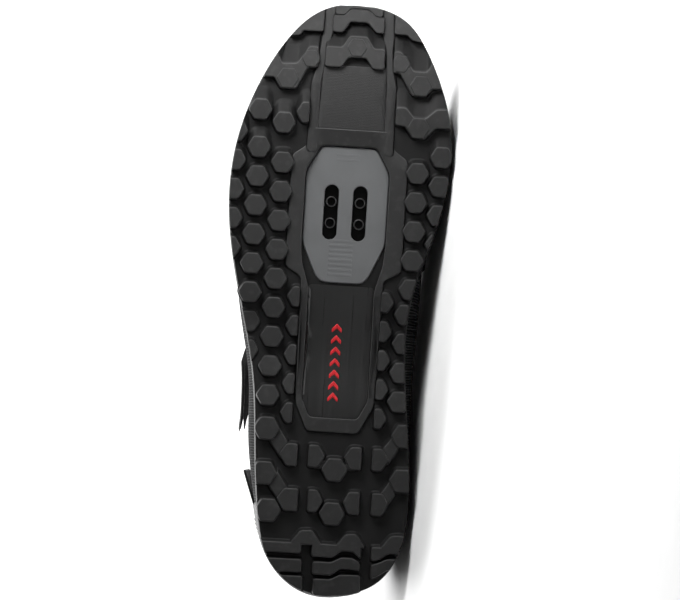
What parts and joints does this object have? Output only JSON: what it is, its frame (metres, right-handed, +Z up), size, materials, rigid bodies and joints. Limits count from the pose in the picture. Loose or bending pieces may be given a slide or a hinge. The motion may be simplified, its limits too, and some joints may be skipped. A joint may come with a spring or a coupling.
{
  "type": "off-road cycling shoe",
  "caption": "Right off-road cycling shoe with a lugged rubber tread, a slotted cleat plate in a recess, an arch window, a laced knit upper and an instep strap.",
  "frame": {"origin": "on the floor, under the middle of the bounding box, with the shoe lying on its medial side", "axes": "+X from heel to toe, +Z up towards the lateral side, -Y out of the tread, which faces sideways and a little up"},
  "size_m": [0.2928, 0.1212, 0.1069],
  "materials": {
    "tread_rubber": "matt moulded rubber",
    "midsole_foam": "matt moulded foam",
    "plate_nylon": "fine moulded grain",
    "window_gloss": "smooth gloss",
    "nut_steel": "blackened steel",
    "upper_knit": "fine ribbed knit",
    "overlay_film": "matt film",
    "lining_cloth": "brushed cloth",
    "strap_webbing": "tight webbing"
  },
  "bodies": {
    "root": {"outsole": "tread_rubber", "midsole": "midsole_foam", "cleat_plate": "plate_nylon", "cleat_nut_plate": "nut_steel", "arch_window_panel": "window_gloss", "insole": "lining_cloth", "upper": "upper_knit", "tongue": "lining_cloth", "toe_cap": "overlay_film", "heel_counter": "overlay_film", "instep_strap": "strap_webbing", "side_tab": "overlay_film", "eyelet_lateral_1": "nut_steel", "eyelet_medial_1": "nut_steel", "eyelet_lateral_2": "nut_steel", "eyelet_medial_2": "nut_steel", "eyelet_lateral_3": "nut_steel", "eyelet_medial_3": "nut_steel", "eyelet_lateral_4": "nut_steel", "eyelet_medial_4": "nut_steel", "laces": "strap_webbing"}
  },
  "joints": []
}
